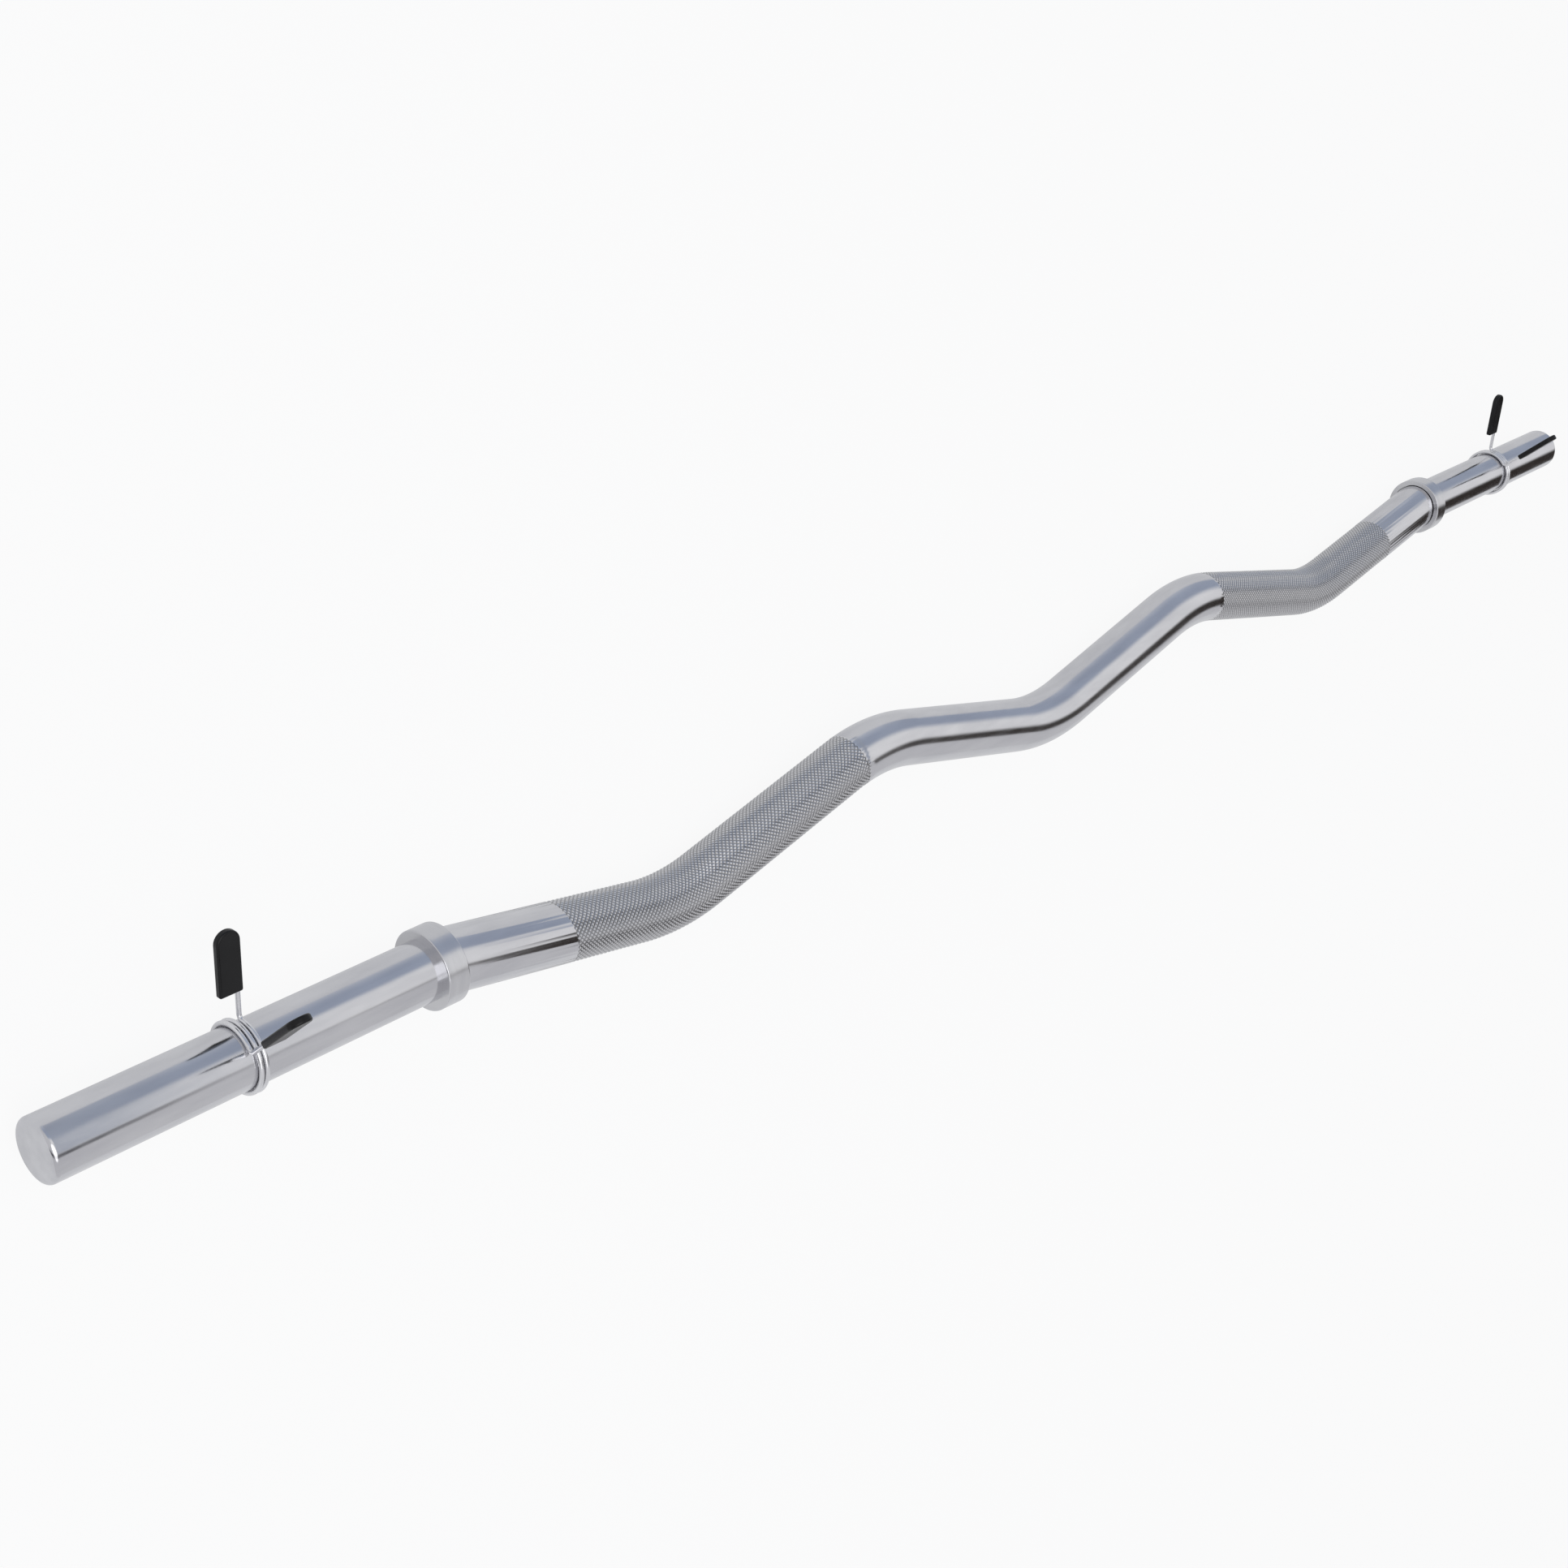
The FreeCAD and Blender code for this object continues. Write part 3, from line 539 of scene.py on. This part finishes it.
# Clip coils
def coil_line():
    """Give the coil's centre line: straight end, bend, turns, bend, straight end."""
    climb = COIL_PITCH / (2 * math.pi)
    half = math.radians(COIL_TURN) / 2
    middle = math.radians(COIL_START) + half

    def station(angle):
        away = np.array([0.0, math.cos(middle + angle), math.sin(middle + angle)])
        onwards = np.array([0.0, -math.sin(middle + angle), math.cos(middle + angle)])
        place = away * COIL_RADIUS - np.array([climb * angle, 0.0, 0.0])
        heading = onwards * COIL_RADIUS - np.array([climb, 0.0, 0.0])
        return place, heading / np.linalg.norm(heading), away

    def outward_bend(end):
        place, heading, away = station(end * half)
        forward = heading * end
        steps = round(WIRE_BEND_ANGLE / WIRE_BEND_STEP)
        arc = [
            place
            + forward * WIRE_BEND_RADIUS * math.sin(turn)
            + away * WIRE_BEND_RADIUS * (1.0 - math.cos(turn))
            for turn in np.radians(WIRE_BEND_STEP * np.arange(1, steps + 1))
        ]
        return [*arc, arc[-1] + away * WIRE_STRAIGHT]

    steps = math.ceil(COIL_TURN / COIL_STEP)
    turns = [station(half * (2 * step / steps - 1))[0] for step in range(steps + 1)]
    return np.array(outward_bend(-1)[::-1] + turns + outward_bend(1))


def make_wire(name, line):
    """Make a closed round wire along a line, without twist."""
    headings = np.gradient(line, axis=0)
    headings /= np.linalg.norm(headings, axis=1)[:, None]
    across = np.cross(headings[0], [1.0, 0.0, 0.0])
    skin = Skin()
    angles = np.arange(WIRE_SIDES) * 2 * math.pi / WIRE_SIDES
    ring = None
    for place, heading in zip(line, headings):
        across = across - heading * (across @ heading)
        across /= np.linalg.norm(across)
        beside = np.cross(heading, across)
        circle = np.outer(np.cos(angles), across) + np.outer(np.sin(angles), beside)
        following = skin.add_points(place + circle * WIRE_RADIUS)
        if ring is None:
            skin.add_faces([following[::-1]], False)
        else:
            skin.bridge(ring, following)
        ring = following
    skin.add_faces([ring], False)
    return skin.make_object(name, [wire_finish])


def make_coils():
    """Make both coils, each at the place of its clip's CAD coil, which it hides."""
    line = coil_line()
    for side in SIDES:
        low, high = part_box(f"{side}_clip_coil")
        centre = Vector(((low.x + high.x) / 2, AXIS.y, AXIS.z))
        coil = make_wire(f"{side}_coil", line + np.array([centre.x, 0.0, 0.0]))
        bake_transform(coil)
        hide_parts(f"{side}_clip_coil")


def dress_nodes():
    """Give every CAD node its finish, also the ones that a piece replaces."""
    finishes = {
        "sleeve_tube": polished,
        "end_cap": polished,
        "collar": collar_finish,
        "inner_bushing": bronze,
        "outer_bushing": bronze,
        "inner_thrust_washer": steel,
        "outer_thrust_washer": steel,
        "retaining_ring": steel,
        "clip_coil": wire_finish,
        "clip_held_arm": wire_finish,
        "clip_squeezed_arm": wire_finish,
        "clip_held_grip": plastic,
        "clip_squeezed_grip": plastic,
    }
    dressed = {f"{side}_{piece}": finishes[piece] for side in SIDES for piece in finishes}
    dressed["grip_shaft"] = polished
    for name, finish in dressed.items():
        materials = frame["nodes"][name].data.materials
        materials.clear()
        materials.append(finish)


# Studio
def add_world():
    """Give metal a soft painted studio to mirror and the camera a plain backdrop."""
    world = bpy.data.worlds.new("studio")
    bpy.context.scene.world = world
    world.use_nodes = True
    nodes, links = world.node_tree.nodes, world.node_tree.links
    direction = nodes.new("ShaderNodeTexCoord").outputs["Generated"]

    def fade(toward, nothing, full):
        """Rise smoothly between two limits along a direction of the bar's own frame."""
        along, height, forward = toward
        dot = nodes.new("ShaderNodeVectorMath")
        dot.operation = "DOT_PRODUCT"
        dot.inputs[1].default_value = (
            along,
            height * TILT_COSINE - forward * TILT_SINE,
            height * TILT_SINE + forward * TILT_COSINE,
        )
        links.new(direction, dot.inputs[0])
        step = nodes.new("ShaderNodeMapRange")
        step.interpolation_type = "SMOOTHSTEP"
        step.inputs["From Min"].default_value = nothing
        step.inputs["From Max"].default_value = full
        links.new(dot.outputs["Value"], step.inputs["Value"])
        return step.outputs["Result"]

    def product(first, second):
        times = nodes.new("ShaderNodeMath")
        times.operation = "MULTIPLY"
        links.new(first, times.inputs[0])
        links.new(second, times.inputs[1])
        return times.outputs[0]

    def paint(under, colour, cover):
        """Cover a colour, or what was painted before, with another colour."""
        mix = nodes.new("ShaderNodeMix")
        mix.data_type = "RGBA"
        links.new(cover, mix.inputs["Factor"])
        if isinstance(under, tuple):
            mix.inputs["A"].default_value = (*under, 1.0)
        else:
            links.new(under, mix.inputs["A"])
        mix.inputs["B"].default_value = (*colour, 1.0)
        return mix.outputs["Result"]

    painted = STUDIO_BASE
    for colour, fades in STUDIO_LAYERS:
        cover = fade(*fades[0])
        for limits in fades[1:]:
            cover = product(cover, fade(*limits))
        painted = paint(painted, colour, cover)
    path = nodes.new("ShaderNodeLightPath")
    painted = paint(painted, BACKDROP_COLOUR, path.outputs["Is Camera Ray"])
    links.new(painted, nodes["Background"].inputs["Color"])


def add_floor():
    """A plain pale floor that keeps a faint shadow."""
    mesh = bpy.data.meshes.new("floor")
    corners = [(-1, -1), (1, -1), (1, 1), (-1, 1)]
    points = [(x * FLOOR_REACH, y * FLOOR_REACH, 0.0) for x, y in corners]
    mesh.from_pydata(points, [], [(0, 1, 2, 3)])
    floor = add_object("floor", mesh)
    material, nodes, links = new_material("white_floor")
    nodes.remove(nodes["Principled BSDF"])
    matte = nodes.new("ShaderNodeBsdfDiffuse")
    matte.inputs["Color"].default_value = (*FLOOR_COLOUR, 1.0)
    glow = nodes.new("ShaderNodeEmission")
    glow.inputs["Color"].default_value = (*FLOOR_WHITE, 1.0)
    path = nodes.new("ShaderNodeLightPath")
    seen = None
    for ray, share in FLOOR_SHARES.items():
        scaled = nodes.new("ShaderNodeMath")
        scaled.operation = "MULTIPLY_ADD"
        scaled.inputs[1].default_value = share
        scaled.inputs[2].default_value = 0.0
        links.new(path.outputs[ray], scaled.inputs[0])
        if seen is not None:
            links.new(seen, scaled.inputs[2])
        seen = scaled.outputs[0]
    mix = nodes.new("ShaderNodeMixShader")
    links.new(seen, mix.inputs["Fac"])
    links.new(matte.outputs[0], mix.inputs[1])
    links.new(glow.outputs[0], mix.inputs[2])
    links.new(mix.outputs[0], nodes["Material Output"].inputs["Surface"])
    mesh.materials.append(material)


def add_lamp():
    """One large soft lamp above the near end."""
    light = bpy.data.lights.new("key", "AREA")
    light.shape = "DISK"
    light.size = LAMP_SIZE
    light.energy = LAMP_POWER
    lamp = add_object("key", light)
    lamp.location = LAMP_PLACE
    lamp.visible_camera = False
    aim = Vector(LAMP_TARGET) - Vector(LAMP_PLACE)
    lamp.rotation_euler = aim.to_track_quat("-Z", "Y").to_euler()


def add_camera():
    data = bpy.data.cameras.new("camera")
    data.sensor_width = SENSOR_WIDTH
    data.lens = LENS
    data.clip_start = CLIP_START
    camera = add_object("camera", data)
    camera.location = CAMERA_PLACE
    camera.rotation_euler = Euler([math.radians(turn) for turn in CAMERA_TURNS])
    bpy.context.scene.camera = camera


make_shaft()
make_coils()
dress_nodes()
add_world()
add_floor()
add_lamp()
add_camera()
bpy.context.scene.view_settings.view_transform = "Standard"
